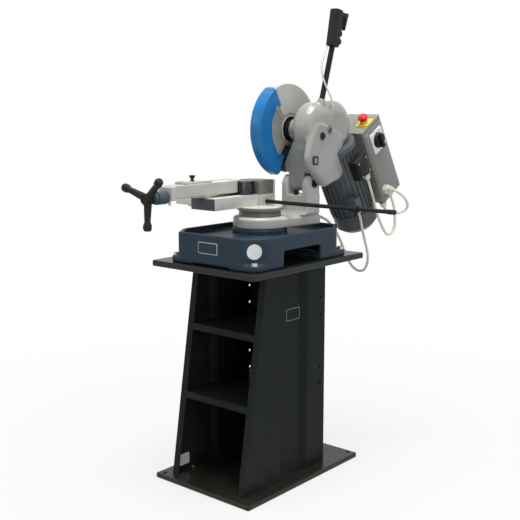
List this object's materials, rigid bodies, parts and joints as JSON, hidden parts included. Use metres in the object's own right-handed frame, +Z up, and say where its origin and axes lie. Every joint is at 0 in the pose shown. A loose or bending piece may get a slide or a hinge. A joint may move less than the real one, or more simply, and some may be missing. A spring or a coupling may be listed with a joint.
{
  "type": "cold saw",
  "caption": "Pull-down circular cold saw for metal on a sheet-steel stand, with swivelling turret, leaning motor, two-part blade guard, screw vise and length stop.",
  "frame": {"origin": "on the floor, under the middle of the base plate", "axes": "+Z up, +X to the operator's right, the operator stands on the -Y side"},
  "size_m": [0.641, 0.9228, 1.3468],
  "materials": {
    "casting_grey": "satin",
    "base_blue": "satin",
    "motor_navy": "satin",
    "stand_black": "satin",
    "guard_blue": "gloss",
    "black_plastic": "matte",
    "black_metal": "satin",
    "box_grey": "hammered",
    "steel": "brushed",
    "jaw_iron": "ground",
    "insert_iron": "ground",
    "bronze": "machined",
    "cream": "satin",
    "white_plate": "satin",
    "red": "gloss",
    "yellow": "satin"
  },
  "bodies": {
    "stand": {"base_plate": "stand_black", "left_side_panel": "stand_black", "right_side_panel": "stand_black", "back_panel": "stand_black", "upper_shelf": "stand_black", "lower_shelf": "stand_black", "table_plate": "stand_black", "bolts": "steel", "base_casting": "base_blue", "scale_ring": "black_metal", "vise_bed": "casting_grey", "vise_end_plate": "jaw_iron", "vise_nut": "steel", "fixed_jaw": "casting_grey", "fixed_jaw_insert": "insert_iron", "stop_rod": "black_metal"},
    "collar": {"stop_collar": "black_metal"},
    "vise": {"moving_jaw": "jaw_iron", "vise_arm": "casting_grey", "arm_end_block": "casting_grey", "screw_sleeve": "base_blue", "clamp_plate": "casting_grey"},
    "thumb": {"thumb_screw": "black_plastic"},
    "wheel": {"vise_screw": "steel", "handwheel": "black_plastic"},
    "turret": {"turret": "casting_grey", "pivot_pin": "black_metal", "depth_stop_screw": "black_metal", "cable_clip": "black_metal"},
    "head": {"gear_housing": "casting_grey", "housing_cover": "casting_grey", "oil_plugs": "black_plastic", "pivot_bushes": "bronze", "spindle_bearings": "steel", "fixed_guard": "casting_grey", "motor_body": "motor_navy", "fan_cover": "motor_navy", "terminal_box": "black_plastic", "control_box": "box_grey", "switch_plate": "white_plate", "estop_plate": "yellow", "lead_glands": "cream", "handle_rod": "black_metal", "handle_grip": "black_plastic", "supply_lead": "cream", "motor_lead": "cream", "box_lead": "cream", "handle_lead": "cream"},
    "guard": {"moving_guard": "guard_blue", "guard_arm": "casting_grey"},
    "blade": {"spindle": "steel", "saw_blade": "steel", "blade_flange": "black_metal", "arbor_bolt": "black_metal", "worm_wheel": "bronze"},
    "rotor": {"motor_rotor": "steel", "cooling_fan": "black_plastic"},
    "knob": {"switch_knob": "black_plastic"},
    "estop": {"estop_button": "red"},
    "trigger": {"trigger": "black_plastic"}
  },
  "joints": [
    {"name": "turret_swivel", "type": "hinge", "parent": "stand", "child": "turret", "pos_m": [0.02, -0.02, 0.75], "axis": [0, 0, -1], "range_deg": [0, 25]},
    {"name": "head_tilt", "type": "hinge", "parent": "turret", "child": "head", "pos_m": [0.07, 0.109, 0.854], "axis": [1, 0, 0], "range_deg": [0, 50], "deforming": ["supply_lead"]},
    {"name": "guard_swing", "type": "hinge", "parent": "head", "child": "guard", "pos_m": [0.02, 0.105, 1.007], "axis": [1, 0, 0], "range_deg": [-92.7, 0]},
    {"name": "motor_spin", "type": "hinge", "parent": "head", "child": "rotor", "pos_m": [0.097, 0.165, 1.04305], "axis": [0, -0.515, 0.8572], "continuous": true},
    {"name": "blade_spin", "type": "hinge", "parent": "head", "child": "blade", "pos_m": [0.02, 0.105, 1.007], "axis": [1, 0, 0], "continuous": true},
    {"name": "vise_slide", "type": "slide", "parent": "stand", "child": "vise", "axis": [0, 1, 0], "range_m": [-0.078, 0.0075]},
    {"name": "handwheel_turn", "type": "hinge", "parent": "vise", "child": "wheel", "pos_m": [-0.045, -0.389, 0.8373], "axis": [0, 1, 0], "range_deg": [-4682, 452]},
    {"name": "thumb_screw_turn", "type": "hinge", "parent": "vise", "child": "thumb", "pos_m": [-0.045, -0.226, 0.88], "axis": [0, 0, 1], "continuous": true},
    {"name": "stop_slide", "type": "slide", "parent": "stand", "child": "collar", "axis": [1, 0, 0], "range_m": [-0.15, 0.089]},
    {"name": "estop_press", "type": "slide", "parent": "head", "child": "estop", "axis": [0, 0.515, -0.8572], "range_m": [0, 0.004], "stiffness_N_per_m": 1500, "springref_m": -0.002},
    {"name": "switch_turn", "type": "hinge", "parent": "head", "child": "knob", "pos_m": [0.16, 0.36381, 0.97235], "axis": [1, 0, 0], "range_deg": [-90, 0]},
    {"name": "trigger_pull", "type": "slide", "parent": "head", "child": "trigger", "axis": [0, -0.9816, 0.1908], "range_m": [0, 0.005], "stiffness_N_per_m": 600, "springref_m": -0.002}
  ],
  "couplings": [
    {"joint": "guard_swing", "follows": "head_tilt", "ratio": -1.85},
    {"joint": "blade_spin", "follows": "motor_spin", "ratio": 0.032258},
    {"joint": "handwheel_turn", "follows": "vise_slide", "rad_per_m": 1047.2}
  ]
}
